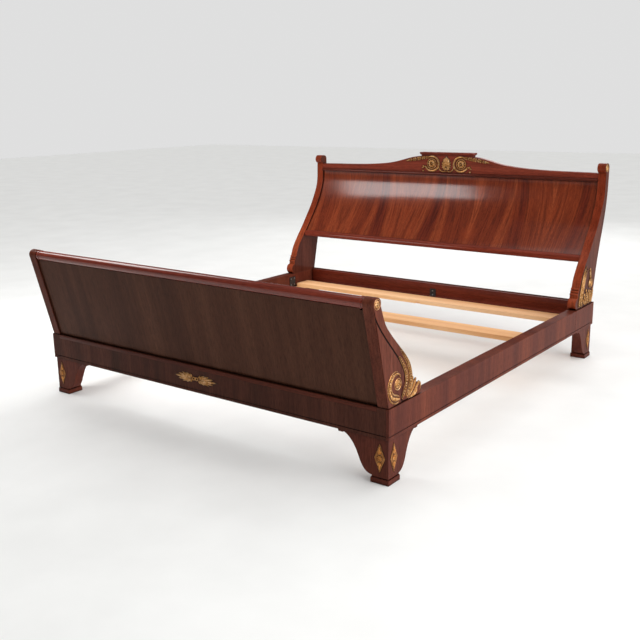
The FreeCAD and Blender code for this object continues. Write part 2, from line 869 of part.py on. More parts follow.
PALMETTE = [
    (0, 1020),
    (20, 1026),
    (34, 1046),
    (33, 1070),
    (22, 1092),
    (8, 1106),
    (0, 1114),
    (-8, 1106),
    (-22, 1092),
    (-33, 1070),
    (-34, 1046),
    (-20, 1026),
]
SPRAY = [
    (128, 1111),
    (176, 1110),
    (210, 1100),
    (256, 1090),
    (297, 1077),
    (250, 1075),
    (190, 1080),
    (150, 1092),
]


def crest_ornament():
    """Palmette, ringed roundels and leaf sprays at the middle of the crest."""
    crest_carving("crest_palmette", [("leaf", closed_curve(PALMETTE))])
    roundels = []
    sprays = []
    for name, side in SIDES.items():
        centre = V(side * 96, 1062, 0)
        roundels.append((name, [Part.Circle(centre, V(0, 0, 1), 46)]))
        sprays.append((name, closed_curve([(side * a, b) for a, b in SPRAY])))
    crest_carving("crest_roundels", roundels)
    crest_carving("crest_sprays", sprays)


HEAD_CARVING = [
    (862, 327),
    (900, 325),
    (960, 325),
    (1026, 328),
    (1046, 350),
    (1052, 400),
    (1040, 440),
    (1026, 470),
    (1010, 510),
    (998, 545),
    (984, 520),
    (976, 480),
    (960, 448),
    (925, 424),
    (900, 400),
    (880, 364),
]


def head_carving(label, side):
    """Gilt leaf, rosette and acanthus at the foot of a head board."""
    carved(label, side, [("spray", closed_curve(HEAD_CARVING))])


# --------------------------------------------------------- slats and hardware


def cleat(label, side):
    """Pine cleat along the foot of the inner faces, which carries the slats."""
    low = "Sheet.InnerHalf - Sheet.CleatWide"
    corner = (
        sided(side, low, "Sheet.CleatWide"),
        "-Sheet.FootFace + Sheet.FaceBoard + Sheet.CoreBoard",
        "Sheet.CleatTop - Sheet.CleatTall",
    )
    length = "Sheet.FootFace + Sheet.HeadFace - 2 * Sheet.FaceBoard - 2 * Sheet.CoreBoard"
    keep(box(label, corner, ("Sheet.CleatWide", length, "Sheet.CleatTall")))


def slat(label, place, notched):
    """Loose pine slat across the cleats; one has a notch in its front edge."""
    body = new_body(label)
    middle = size(place)
    reach = size("SlatWide") / 2
    half = size("SlatHalf")
    front = middle - reach
    outline = [(-half, front), (half, front), (half, middle + reach), (-half, middle + reach)]
    offset = "Sheet.CleatTop + Sheet.SlatGap"
    sketch = add_sketch(body, label + "_plan", "XY_Plane", lines(outline), offset)
    add_pad(body, sketch, "Sheet.SlatThick")
    if notched:
        recess = [(-16, front - 5), (16, front - 5), (16, front + 8), (-16, front + 8)]
        offset = "Sheet.CleatTop + Sheet.SlatGap + 10"
        plan = add_sketch(body, label + "_notch", "XY_Plane", lines(recess), offset)
        add_pocket(body, plan, "10")
    return keep(body)


def screw(name, place, turn):
    """One round screw head on a steel plate, its axis turned to the plate."""
    head = doc.addObject("Part::Cylinder", name)
    head.setExpression("Radius", "Sheet.ScrewRadius")
    head.setExpression("Height", "Sheet.ScrewTall")
    head.Placement = FreeCAD.Placement(V(*place), turn)
    return head


PLATE_LOW = 232
PLATE_TALL = 64
PLATE_LONG = 60
BRACKET_LOW = 236
BRACKET_TALL = 50
BRACKET_WIDE = 40


def hardware():
    """Steel plates across the rail joints and at the middle of the end rails."""
    plates = []
    screws = []
    for name, side in SIDES.items():
        for end, seam in (("foot", -size("LapEnd")), ("head", size("SeamPlace"))):
            low = "Sheet.InnerHalf - Sheet.PlateThick"
            corner = (
                sided(side, low, "Sheet.PlateThick"),
                str(seam - PLATE_LONG / 2),
                str(PLATE_LOW),
            )
            lengths = ("Sheet.PlateThick", str(PLATE_LONG), str(PLATE_TALL))
            plates.append(box("plate_%s_%s" % (end, name), corner, lengths))
            across = side * (size("InnerHalf") - size("PlateThick"))
            turn = FreeCAD.Rotation(V(0, 1, 0), -90 * side)
            for step_y in (-1, 1):
                for step_z in (-1, 1):
                    place = (across, seam + step_y * 18, PLATE_LOW + PLATE_TALL / 2 + step_z * 20)
                    label = "plate_screw_%s_%s_%d_%d" % (end, name, step_y + 1, step_z + 1)
                    screws.append(screw(label, place, turn))
    compound("rail_plates", plates)
    brackets = []
    inner = size("FaceBoard") + size("CoreBoard")
    for end, face in (("foot", -size("FootFace") + inner), ("head", size("HeadFace") - inner)):
        inward = 1 if end == "foot" else -1
        low = face if inward > 0 else face - size("PlateThick")
        corner = (str(-BRACKET_WIDE / 2), str(low), str(BRACKET_LOW))
        lengths = (str(BRACKET_WIDE), "Sheet.PlateThick", str(BRACKET_TALL))
        brackets.append(box("bracket_" + end, corner, lengths))
        turn = FreeCAD.Rotation(V(1, 0, 0), -90 * inward)
        for step in (-1, 1):
            place = (0, face + inward * size("PlateThick"), BRACKET_LOW + BRACKET_TALL / 2 + step * 12.5)
            screws.append(screw("bracket_screw_%s_%d" % (end, step + 1), place, turn))
    compound("centre_brackets", brackets)
    compound("plate_screws", screws)


# --------------------------------------------------------------- the assembly

for side_name, side_sign in SIDES.items():
    for end_name, end_sign in (("foot", -1), ("head", 1)):
        corner_name = "%s_%s" % (end_name, side_name)
        block_foot(corner_name + "_block_foot", side_sign, end_sign)
        leg(corner_name + "_leg", side_sign, end_sign)
        lozenges(corner_name + "_lozenges", side_sign, end_sign)
        side_wing(corner_name + "_side_wing", side_sign, end_sign)
    front_wing("foot_%s_front_wing" % side_name, side_sign)
    side_rail("side_rail_" + side_name, side_sign)
    foot_block("foot_corner_block_" + side_name, side_sign)
    head_block("head_corner_block_" + side_name, side_sign)
    foot_board("foot_scroll_board_" + side_name, side_sign)
    border_band("foot_border_band_" + side_name, side_sign)
    foot_carving("foot_carving_" + side_name, side_sign)
    head_board("head_post_" + side_name, side_sign)
    head_carving("head_carving_" + side_name, side_sign)
    cleat("slat_cleat_" + side_name, side_sign)
    rosette_low = "Sheet.InnerHalf + Sheet.ScrollBoard"
    rosette("foot_rosette_" + side_name, side_sign, "-Sheet.FootEyeBack", "Sheet.FootEyeTall", rosette_low)
    rosette("head_rosette_" + side_name, side_sign, "Sheet.HeadEyeBack", "Sheet.HeadEyeTall", rosette_low)

foot_rail()
foot_applique()
foot_panel()
foot_roll()
head_rail()
head_panel()
panel_moulding()
crest_moulding()
crest_rail()
crest_cap()
crest_ornament()
slat("slat_head", "HeadSlat", True)
slat("slat_middle", "MiddleSlat", False)
hardware()
doc.recompute()

# ----------------------------------------------------------- check and export

for item in doc.Objects:
    if "Invalid" in item.State or "Error" in item.State:
        raise RuntimeError("%s failed: %s" % (item.Name, item.State))
for piece in parts:
    if piece.Shape.isNull() or not piece.Shape.isValid():
        raise RuntimeError(piece.Label + " has no valid shape")

os.makedirs("parts", exist_ok=True)
for piece in parts:
    piece.Shape.exportStep(os.path.join("parts", piece.Label + ".step"))
print(len(parts), "pieces written")
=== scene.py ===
import math

import bpy
from mathutils import Matrix, Vector


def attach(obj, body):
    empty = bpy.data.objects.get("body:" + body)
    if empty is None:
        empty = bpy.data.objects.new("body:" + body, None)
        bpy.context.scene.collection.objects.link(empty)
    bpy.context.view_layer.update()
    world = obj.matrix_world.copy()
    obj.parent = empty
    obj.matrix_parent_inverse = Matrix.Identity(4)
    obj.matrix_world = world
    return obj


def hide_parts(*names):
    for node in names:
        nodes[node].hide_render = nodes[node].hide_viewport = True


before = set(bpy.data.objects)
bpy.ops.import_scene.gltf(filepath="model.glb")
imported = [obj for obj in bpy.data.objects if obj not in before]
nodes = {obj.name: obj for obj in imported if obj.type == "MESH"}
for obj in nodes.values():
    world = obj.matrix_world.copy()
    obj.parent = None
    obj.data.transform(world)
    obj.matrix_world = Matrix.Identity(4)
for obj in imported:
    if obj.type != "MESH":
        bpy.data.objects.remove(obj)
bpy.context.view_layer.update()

# ---------------------------------------------------------------- the studio
# A pale paper floor, matt and faintly mottled. Soft boxes stand to the right of
# the bed, over its left side and behind it, under an even skylight, between dim
# walls that the camera sees as a pale backdrop.


def linear(shade):
    """A hex sRGB colour as linear red, green, blue and an alpha of one."""
    parts = [int(shade[i : i + 2], 16) / 255 for i in (1, 3, 5)]
    light = [p / 12.92 if p <= 0.04045 else ((p + 0.055) / 1.055) ** 2.4 for p in parts]
    return (*light, 1.0)


def add_node(tree, kind, links=None, stops=None, **settings):
    """Adds one node with its settings, its ramp's stops, and its inputs' values or links."""
    made = tree.nodes.new("ShaderNode" + kind)
    for name, value in settings.items():
        setattr(made, name, value)
    if stops:
        while len(made.color_ramp.elements) < len(stops):
            made.color_ramp.elements.new(0.5)
        for element, (place, shade) in zip(made.color_ramp.elements, stops):
            element.position = place
            element.color = linear(shade)
    for name, value in (links or {}).items():
        if isinstance(value, bpy.types.NodeSocket):
            tree.links.new(value, made.inputs[name])
        else:
            made.inputs[name].default_value = value
    return made


def new_material(name):
    """An empty node material and its tree."""
    material = bpy.data.materials.new(name)
    material.use_nodes = True
    material.node_tree.nodes.clear()
    return material, material.node_tree


def paper_material():
    """Matt white background paper."""
    material, tree = new_material("background_paper")
    place = add_node(tree, "TexCoord").outputs["Object"]
    mottle = add_node(tree, "TexNoise", {"Vector": place, "Scale": 3.0, "Detail": 4.0})
    tone = add_node(
        tree, "ValToRGB", {"Fac": mottle.outputs["Fac"]}, [(0.3, "#ececea"), (0.7, "#f2f2f0")]
    )
    skin = add_node(
        tree, "BsdfPrincipled", {"Base Color": tone.outputs["Color"], "Roughness": 0.9, "IOR": 1.45}
    )
    add_node(tree, "OutputMaterial", {"Surface": skin.outputs["BSDF"]})
    return material


bpy.ops.object.select_all(action="DESELECT")
bpy.ops.mesh.primitive_plane_add(size=40)
floor = bpy.context.object
floor.name = "paper_floor"
floor.data.materials.append(paper_material())

world = bpy.data.worlds.new("studio_walls")
world.use_nodes = True
world.node_tree.nodes.clear()
walls = add_node(world.node_tree, "Background", {"Color": linear("#f4f5f6"), "Strength": 0.12})
backdrop = add_node(world.node_tree, "Background", {"Color": linear("#ffffff"), "Strength": 0.74})
seen = add_node(world.node_tree, "LightPath")
surround = add_node(
    world.node_tree, "MixShader",
    {0: seen.outputs["Is Camera Ray"], 1: walls.outputs[0], 2: backdrop.outputs[0]},
)
add_node(world.node_tree, "OutputWorld", {"Surface": surround.outputs[0]})
bpy.context.scene.world = world


def add_object(name, data):
    """A new object made from the given data, put in the scene."""
    made = bpy.data.objects.new(name, data)
    bpy.context.scene.collection.objects.link(made)
    return made


def soft_box(name, place, aim, across, high, power):
    """A rectangular soft box at a place, facing the point it is aimed at."""
    lamp = bpy.data.lights.new(name, "AREA")
    lamp.shape = "RECTANGLE"
    lamp.size = across
    lamp.size_y = high
    lamp.energy = power
    box = add_object(name, lamp)
    box.location = place
    box.rotation_euler = (Vector(aim) - Vector(place)).to_track_quat("-Z", "Y").to_euler()
    box.visible_camera = False


soft_box("right_box", (5.2, -0.6, 2.2), (0.4, 0, 0.4), 3.0, 2.6, 150)
soft_box("left_box", (-1.8, -1.03, 2.05), (-1.5, -0.03, 1.05), 1.3, 1.2, 34)
soft_box("back_box", (-1.5, 5.2, 3.0), (0, 0.6, 0.5), 3.0, 2.0, 60)

sky = bpy.data.lights.new("skylight", "SUN")
sky.energy = 2.5
sky.angle = math.radians(110)
skylight = add_object("skylight", sky)
skylight.rotation_euler = (math.radians(-16), math.radians(20), 0)

lens = bpy.data.cameras.new("camera")
lens.lens = 48.96
lens.sensor_width = 36
camera = add_object("camera", lens)
camera.location = (2.6944, -3.7541, 1.4532)
yaw = Matrix.Rotation(math.radians(37.01), 4, "Z")
pitch = Matrix.Rotation(math.radians(90 - 14.06), 4, "X")
roll = Matrix.Rotation(math.radians(-0.9), 4, "Z")
camera.rotation_euler = (yaw @ pitch @ roll).to_euler()
bpy.context.scene.camera = camera
bpy.context.scene.view_settings.view_transform = "Standard"

# ----------------------------------------------------------------- the rails
# Softwood rails faced with mahogany veneer laid with its grain upright, and a
# solid mahogany bead along the underside. The side rails lap over the foot
# corners and meet the head corners in a seam.


def mahogany(
    name, grain, dark, warm, light, gloss=0.3, contrast=0.45, flitch=0.0, slant=0.0,
    along_sweep=1.0, haze=0.1,
):
    """French polished mahogany, its grain along one axis.

    The lacquer is clear, a little uneven, and mirrors the room; under it the
    open pores show as short dark flecks and the figure as ribbons. A flitch
    is one leaf of veneer, in metres, and each is the mirror of the next.
    """
    material, tree = new_material(name)
    place = add_node(tree, "TexCoord").outputs["Object"]
    if flitch:
        parts = add_node(tree, "SeparateXYZ", {"Vector": place})
        fold = add_node(tree, "Math", {0: parts.outputs["X"], 1: flitch}, operation="PINGPONG")
        lean = add_node(
            tree, "Math", {0: parts.outputs["Z"], 1: slant, 2: fold.outputs[0]},
            operation="MULTIPLY_ADD",
        )
        leaf = add_node(tree, "Math", {0: parts.outputs["X"], 1: 2 * flitch}, operation="SNAP")
        drift = add_node(
            tree, "Math", {0: leaf.outputs[0], 1: 3.7, 2: parts.outputs["Z"]},
            operation="MULTIPLY_ADD",
        )
        place = add_node(
            tree, "CombineXYZ",
            {"X": lean.outputs[0], "Y": parts.outputs["Y"], "Z": drift.outputs[0]},
        ).outputs["Vector"]
    along = [1.0, along_sweep, 1.0]
    along["XYZ".index(grain)] = 0.04
    fibre = add_node(tree, "Mapping", {"Vector": place, "Scale": along})
    sway = add_node(tree, "TexNoise", {"Vector": fibre.outputs[0], "Scale": 7, "Detail": 2.0})
    push = add_node(
        tree, "VectorMath", {0: sway.outputs["Color"], 1: (0.5, 0.5, 0.5)}, operation="SUBTRACT"
    )
    bent = add_node(
        tree, "VectorMath", {0: push.outputs[0], 1: (0.03, 0.03, 0.03), 2: fibre.outputs[0]},
        operation="MULTIPLY_ADD",
    )
    # Boards vary over about 100 mm, ribbons are about 10 mm wide.
    board = add_node(tree, "TexNoise", {"Vector": bent.outputs[0], "Scale": 10, "Detail": 3.0})
    tone = add_node(
        tree, "ValToRGB", {"Fac": board.outputs["Fac"]}, [(0.3, dark), (0.5, warm), (0.7, light)]
    )
    ribbon = add_node(
        tree, "TexNoise",
        {"Vector": bent.outputs[0], "Scale": 95, "Detail": 5.0, "Roughness": 0.6},
    )
    shade = add_node(
        tree, "ValToRGB", {"Fac": ribbon.outputs["Fac"]}, [(0.34, "#7a7270"), (0.6, "#ffffff")]
    )
    figured = add_node(
        tree, "Mix", {0: contrast, 6: tone.outputs["Color"], 7: shade.outputs["Color"]},
        data_type="RGBA", blend_type="MULTIPLY",
    )
    # Pores are 0.2 mm wide on the real wood, drawn 1.2 mm wide so that they show.
    open_pores = add_node(
        tree, "TexNoise", {"Vector": fibre.outputs[0], "Scale": 800, "Detail": 2.0}
    )
    fleck = add_node(
        tree, "ValToRGB", {"Fac": open_pores.outputs["Fac"]}, [(0.38, "#7c7070"), (0.5, "#ffffff")]
    )
    grained = add_node(
        tree, "Mix", {0: 0.5, 6: figured.outputs[2], 7: fleck.outputs["Color"]},
        data_type="RGBA", blend_type="MULTIPLY",
    )
    # Ambient occlusion darkens the colour within 14 mm of a recess: painted shade, and partly wax
    # and dust.
    painted_shade_nook = add_node(tree, "AmbientOcclusion", {"Distance": 0.014}, samples=6)
    grime_and_painted_shade = add_node(
        tree, "ValToRGB", {"Fac": painted_shade_nook.outputs["AO"]}, [(0.35, "#20120e"), (0.92, "#ffffff")]
    )
    aged_and_shaded = add_node(
        tree, "Mix", {0: 0.9, 6: grained.outputs[2], 7: grime_and_painted_shade.outputs["Color"]},
        data_type="RGBA", blend_type="MULTIPLY",
    )
    sunk = add_node(
        tree, "Bump", {"Height": open_pores.outputs["Fac"], "Strength": 0.12, "Distance": 0.0003}
    )
    wave = add_node(tree, "TexNoise", {"Vector": place, "Scale": 14, "Detail": 2.0})
    rubbed = add_node(
        tree, "Bump", {"Height": wave.outputs["Fac"], "Strength": 0.1, "Distance": 0.0012}
    )
    skin = add_node(
        tree, "BsdfPrincipled",
        {
            "Base Color": aged_and_shaded.outputs[2], "Roughness": 0.45, "IOR": 1.5,
            "Specular IOR Level": 0.03, "Normal": sunk.outputs["Normal"], "Coat Weight": gloss,
            "Coat Roughness": haze, "Coat IOR": 1.5, "Coat Normal": rubbed.outputs["Normal"],
        },
    )
    add_node(tree, "OutputMaterial", {"Surface": skin.outputs["BSDF"]})
    return material


def select_only(piece):
    """Makes one object the only one selected, and the active one."""
    bpy.ops.object.select_all(action="DESELECT")
    piece.select_set(True)
    bpy.context.view_layer.objects.active = piece


def round_edges(piece, width, steps, sharp):
    """Rounds the edges that turn by more than a sharp angle, by a width in millimetres."""
    rounding = piece.modifiers.new("edge_rounding", "BEVEL")
    rounding.width = width / 1000
    rounding.segments = steps
    rounding.limit_method = "ANGLE"
    rounding.angle_limit = math.radians(sharp)
    rounding.use_clamp_overlap = False
    rounding.harden_normals = True
    bpy.ops.object.modifier_apply(modifier="edge_rounding")


def eased(node, name, edge, material, steps=3, body="bedstead"):
    """A merged copy of a plain board, its sharp edges rounded by edge millimetres."""
    piece = add_object(name, nodes[node].data.copy())
    select_only(piece)
    bpy.ops.mesh.customdata_custom_splitnormals_clear()
    bpy.ops.object.mode_set(mode="EDIT")
    bpy.ops.mesh.select_all(action="SELECT")
    bpy.ops.mesh.remove_doubles(threshold=0.00002)
    bpy.ops.mesh.dissolve_limited(angle_limit=math.radians(0.3))
    bpy.ops.object.mode_set(mode="OBJECT")
    bpy.ops.object.shade_smooth_by_angle(angle=math.radians(25))
    round_edges(piece, edge, steps, 28)
    piece.data.materials.clear()
    piece.data.materials.append(material)
    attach(piece, body)
    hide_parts(node)
    return piece


RED_MAHOGANY = ("#5a2116", "#752f1f", "#8a3d28")
veneer = mahogany(
    "upright_mahogany", "Z", "#552820", "#643023", "#743a29", gloss=0.12, contrast=0.3
)
# A darker copy of the upright veneer for the foot rail's front, which faces away from the lamps:
# painted shade.
shade_painted_veneer = mahogany(
    "painted_shade_mahogany", "Z", "#43251a", "#512b1f", "#603628", gloss=0.12, contrast=0.35
)
rail_wood = mahogany("lengthwise_mahogany", "X", *RED_MAHOGANY, gloss=0.15)
side_wood = mahogany("lengthwise_mahogany_side", "Y", *RED_MAHOGANY, gloss=0.15)

eased("foot_rail_face", "foot_rail_facing", 1.2, shade_painted_veneer)
eased("foot_rail_core", "foot_rail_back", 2.0, rail_wood)
eased("head_rail_face", "head_rail_facing", 1.2, veneer)
eased("head_rail_core", "head_rail_front", 2.0, rail_wood)
for hand in ("left", "right"):
    eased("side_rail_" + hand, "side_rail_veneered_" + hand, 1.6, veneer)
    eased("foot_corner_block_" + hand, "foot_corner_" + hand, 1.0, side_wood)
    eased("head_corner_block_" + hand, "head_corner_" + hand, 1.2, veneer)

# A solid strip with its grain lengthwise edges the veneer along the foot rail.
STRIP_MIDDLE = (0, -1.1138, 0.3074)
STRIP_SIZE = (1.938, 0.0024, 0.0186)
edging = mahogany("edging_mahogany", "X", "#4e2419", "#5e2d20", "#6e382a", gloss=0.12)
bpy.ops.object.select_all(action="DESELECT")
bpy.ops.mesh.primitive_cube_add(size=1, location=STRIP_MIDDLE)
strip_piece = bpy.context.object
strip_piece.name = "foot_rail_edge_strip"
bpy.ops.transform.resize(value=STRIP_SIZE)
bpy.ops.object.transform_apply(location=True, rotation=True, scale=True)
bpy.ops.object.mode_set(mode="EDIT")
bpy.ops.mesh.select_all(action="SELECT")
bpy.ops.mesh.bevel(offset=0.0009, segments=2)
bpy.ops.object.mode_set(mode="OBJECT")
bpy.ops.object.shade_smooth_by_angle(angle=math.radians(40))
strip_piece.data.materials.append(edging)
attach(strip_piece, "bedstead")

# ------------------------------------------------------------------ the legs
# Square veneered legs on plain block feet, with ogee bracket wings glued on
# beside them. The block's top edge is chamfered all round.
for corner in ("foot_left", "foot_right", "head_left", "head_right"):
    eased(corner + "_leg", corner + "_leg_veneered", 1.2, veneer)
    eased(corner + "_block_foot", corner + "_plinth", 3.0, veneer, 2)
    eased(corner + "_side_wing", corner + "_side_bracket", 1.2, veneer, 2)
for hand in ("left", "right"):
    eased("foot_%s_front_wing" % hand, "foot_%s_front_bracket" % hand, 1.2, veneer, 2)

# -------------------------------------------------------------- the foot end
# Side boards cut to a scroll, a veneered panel leaning out between them, and a
# turned roll along the top. A raised border follows the S curve.
BOARD_FACE = 1017  # outer face of the scroll boards and posts, in millimetres
board_wood = mahogany("scroll_board_mahogany", "Z", "#58291d", "#6b3627", "#7c4434", gloss=0.12)
panel_wood = mahogany(
    "foot_panel_mahogany", "Z", "#4a2c20", "#553426", "#603d2d", gloss=0.08, contrast=0.2,
    flitch=0.245, along_sweep=0.08,
)
roll_wood = mahogany("turned_mahogany", "X", "#5c1e14", "#772c1e", "#903c2a", gloss=0.9)
# Near-black wood for the board's face in the scratched line: painted shadow.
shadow_line_wood = mahogany("painted_shadow_line_mahogany", "Z", "#140a07", "#1c0e0a", "#26130d", gloss=0.1)


def between(a, b, c, d, t):
    """The value a share t of the way from b to c, on a smooth run through all four."""
    bend = 2 * b + (c - a) * t + (2 * a - 5 * b + 4 * c - d) * t**2
    return 0.5 * (bend + (3 * b - a - 3 * c + d) * t**3)


def smooth_line(points, step=6):
    """Points along a smooth line through the given ones."""
    ends = [points[0]] + list(points) + [points[-1]]
    line = []
    for before, start, end, after in zip(ends, ends[1:], ends[2:], ends[3:]):
        for k in range(step):
            line.append(tuple(
                between(*four, k / step) for four in zip(before, start, end, after)
            ))
    return line + [tuple(points[-1])]


def raised_field(name, outline, proud, edge):
    """A flat field standing a little proud of the right board, cut to an outline."""
    mesh = bpy.data.meshes.new(name)
    corners = [(BOARD_FACE / 1000, back / 1000, up / 1000) for back, up in outline]
    mesh.from_pydata(corners, [], [range(len(corners))])
    piece = add_object(name, mesh)
    select_only(piece)
    bpy.ops.object.mode_set(mode="EDIT")
    bpy.ops.mesh.select_all(action="SELECT")
    bpy.ops.mesh.extrude_region_move(TRANSFORM_OT_translate={"value": (proud / 1000, 0, 0)})
    bpy.ops.mesh.select_all(action="SELECT")
    bpy.ops.mesh.normals_make_consistent(inside=False)
    bpy.ops.object.mode_set(mode="OBJECT")
    bpy.ops.object.shade_smooth_by_angle(angle=math.radians(25))
    round_edges(piece, edge, 2, 30)
    piece.data.materials.append(board_wood)
    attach(piece, "bedstead")
    return piece


def left_hand(piece, name, *replaced, slot="gilding"):
    """The same piece for the left side of the bed, turned over like a mirror."""
    twin = add_object(name, piece.data.copy())
    twin.data.transform(Matrix.Scale(-1, 4, (1, 0, 0)))
    select_only(twin)
    bpy.ops.object.mode_set(mode="EDIT")
    bpy.ops.mesh.select_all(action="SELECT")
    bpy.ops.mesh.flip_normals()
    bpy.ops.object.mode_set(mode="OBJECT")
    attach(twin, "bedstead")
    if replaced:
        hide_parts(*replaced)
    return twin


eased("foot_panel", "foot_panel_veneered", 0.8, panel_wood, 2)
eased("foot_roll", "foot_roll_turned", 0.8, roll_wood, 2)
for hand in ("left", "right"):
    board = eased("foot_scroll_board_" + hand, "foot_scroll_" + hand, 1.6, board_wood)
    # The board's outer face shows only in the line between border and field; it takes the
    # near-black wood as painted shadow.
    board.data.materials.append(shadow_line_wood)
    for side in board.data.polygons:
        if abs(side.center.x) > BOARD_FACE / 1000 - 0.0001:
            side.material_index = 1

# The scratched line parts the board's face into a border and a field, which both
# stand 2.6 mm proud. Places are millimetres along the bed and above the floor.
PROUD = 2.6
EASING = 0.9
LINE_SIDE = (2.8, 1.9)  # from the line's middle to its edges, back and up
FOOT_SCROLL = (-1187, 741)
SCROLL_RADIUS = 25.2
LINE = [
    (-1012, 318), (-1014, 350), (-1008, 378), (-995, 404), (-996, 438), (-1027, 487),
    (-1075, 541), (-1133, 603), (-1178, 657), (-1203, 697),
]
S_CURVE = [
    (-1163.4, 732), (-1132, 656.6), (-1089, 605.4), (-1031, 548.2), (-988, 500.2),
    (-957, 459.6), (-942, 418), (-929, 394.6), (-904, 375), (-880, 356.6), (-869.4, 336.4),
    (-875, 318.4),
]
FIELD_CORNERS = [(-1195, 677), (-1109.4, 318.5)]
scroll_round = [
    (
        FOOT_SCROLL[0] + SCROLL_RADIUS * math.cos(math.radians(a)),
        FOOT_SCROLL[1] + SCROLL_RADIUS * math.sin(math.radians(a)),
    )
    for a in range(190, -20, -14)
]
border_edge = [(back + LINE_SIDE[0], up + LINE_SIDE[1]) for back, up in smooth_line(LINE)]
field_edge = [(back - LINE_SIDE[0], up - LINE_SIDE[1]) for back, up in smooth_line(LINE)]
border_outline = border_edge[1:-1] + scroll_round + smooth_line(S_CURVE)
border = raised_field("foot_border_right", border_outline, PROUD, EASING)
field = raised_field("foot_field_right", field_edge[1:-4] + FIELD_CORNERS, PROUD, EASING)
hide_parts("foot_border_band_right")
left_hand(border, "foot_border_left", "foot_border_band_left", slot="mahogany")
left_hand(field, "foot_field_left", slot="mahogany")

# -------------------------------------------------------------- the head end
# S curved posts that end in small scrolls, and a concave panel between them
# veneered with bookmatched flitches of flame mahogany under a deep polish.
post_wood = mahogany(
    "post_mahogany", "Z", "#7a2f1a", "#963f24", "#ac5433", gloss=0.15, along_sweep=0.4
)
flame = mahogany(
    "flame_mahogany", "Z", "#6a2410", "#863618", "#a44c28", gloss=1.0, contrast=0.6,
    flitch=0.24, slant=0.1, along_sweep=0.08, haze=0.15,
)
crest_wood = mahogany("crest_mahogany", "X", "#6c2a1a", "#843624", "#984430", gloss=0.2)
moulding_wood = mahogany("moulding_mahogany", "X", "#542014", "#66291a", "#783624", gloss=0.3)
# A darker copy of the post wood for the posts' sides: painted shade.
painted_shade_cheek_wood = mahogany("post_cheek_painted_shade_mahogany", "Z", "#48231a", "#5a2c20", "#6c3828", gloss=0.15)

eased("head_panel", "head_panel_veneered", 0.8, flame, 2)
eased("panel_moulding", "panel_base_strip", 2.5, crest_wood)
eased("crest_moulding", "crest_ovolo", 0.8, moulding_wood, 2)
eased("crest_rail", "crest_board", 2.0, crest_wood)
eased("crest_cap", "crest_shelf", 2.0, crest_wood)
for hand in ("left", "right"):
    post = eased("head_post_" + hand, "head_post_scrolled_" + hand, 1.6, post_wood)
    post.data.materials.append(painted_shade_cheek_wood)
    # Faces turned along X, the post's sides, take the darker copy: painted shade.
    for side in post.data.polygons:
        side.material_index = int(abs(side.normal.x) > 0.9)

# ------------------------------------------------------------ gilt rosettes
# Carved limewood ornament, gessoed, gilded over red-brown bole and glued to
# the boards. Rubbed gold on the high parts; bole, old wax and painted shade in the hollows.


def gilding(name, carved, tones=("#8a5426", "#b07c44", "#cc9d6c", "#e4c8a0")):
    """Old water gilding: rubbed gold leaf gone brown in the hollows, darkened there also by painted
    shade.
    """
    material, tree = new_material(name)
    place = add_node(tree, "TexCoord").outputs["Object"]
    # Rubbed patches about 12 mm across, tool marks about 2.5 mm across.
    patch = add_node(
        tree, "TexNoise", {"Vector": place, "Scale": 80, "Detail": 4.0, "Roughness": 0.6}
    )
    leaf = add_node(
        tree, "ValToRGB", {"Fac": patch.outputs["Fac"]},
        list(zip((0.28, 0.45, 0.6, 0.75), tones)),
    )
    height = add_node(tree, "Attribute", attribute_name="relief")
    # Hollows go dark brown by low relief, for the bole and wax there, and by ambient occlusion
    # within 7 mm, which is painted shade; flat gilding is darkened by the occlusion alone.
    painted_shade_nook = add_node(tree, "AmbientOcclusion", {"Distance": 0.007}, samples=8)
    if carved:
        open_part = add_node(
            tree, "Math", {0: height.outputs["Fac"], 1: painted_shade_nook.outputs["AO"]}, operation="MULTIPLY"
        )
    else:
        open_part = add_node(tree, "Math", {0: painted_shade_nook.outputs["AO"], 1: 0.37}, operation="MULTIPLY")
    bright = add_node(
        tree, "MapRange",
        {
            "Value": open_part.outputs[0], "From Min": 0.15, "From Max": 0.52,
            "To Min": 0.0, "To Max": 1.0,
        },
        interpolation_type="SMOOTHSTEP",
    )
    aged_and_shaded = add_node(
        tree, "Mix", {0: bright.outputs["Result"], 6: linear("#24120a"), 7: leaf.outputs["Color"]},
        data_type="RGBA",
    )
    rough = add_node(
        tree, "MapRange", {"Value": bright.outputs["Result"], "To Min": 0.8, "To Max": 0.4}
    )
    metal = add_node(
        tree, "MapRange", {"Value": bright.outputs["Result"], "To Min": 0.1, "To Max": 0.9}
    )
    marks = add_node(tree, "TexNoise", {"Vector": place, "Scale": 400, "Detail": 3.0})
    tooled = add_node(
        tree, "Bump", {"Height": marks.outputs["Fac"], "Strength": 0.35, "Distance": 0.0008}
    )
    skin = add_node(
        tree, "BsdfPrincipled",
        {
            "Base Color": aged_and_shaded.outputs[2], "Metallic": metal.outputs["Result"],
            "Roughness": rough.outputs["Result"], "Normal": tooled.outputs["Normal"],
        },
    )
    add_node(tree, "OutputMaterial", {"Surface": skin.outputs["BSDF"]})
    return material


gold = gilding("antique_gilding", True)
LOZENGE_TONES = ("#8e5420", "#b87436", "#cf904e", "#e2ac70")
ground_gold = gilding("worn_gilt_ground", False, LOZENGE_TONES)
lozenge_gold = gilding("worn_gilt_carving", True, LOZENGE_TONES)


def mark_relief(piece, tall):
    """Notes how far each point stands off its ground, 0 to 1, for the gilding."""
    notes = piece.data.attributes.new("relief", "FLOAT", "POINT")
    for spot, note in zip(piece.data.vertices, notes.data):
        note.value = spot.co.z / tall


def pick(piece, wanted):
    """In edit mode, selects the piece's vertices whose place is wanted."""
    bpy.ops.mesh.select_all(action="DESELECT")
    bpy.ops.object.mode_set(mode="OBJECT")
    for spot in piece.data.vertices:
        spot.select = wanted(spot.co)
    bpy.ops.object.mode_set(mode="EDIT")


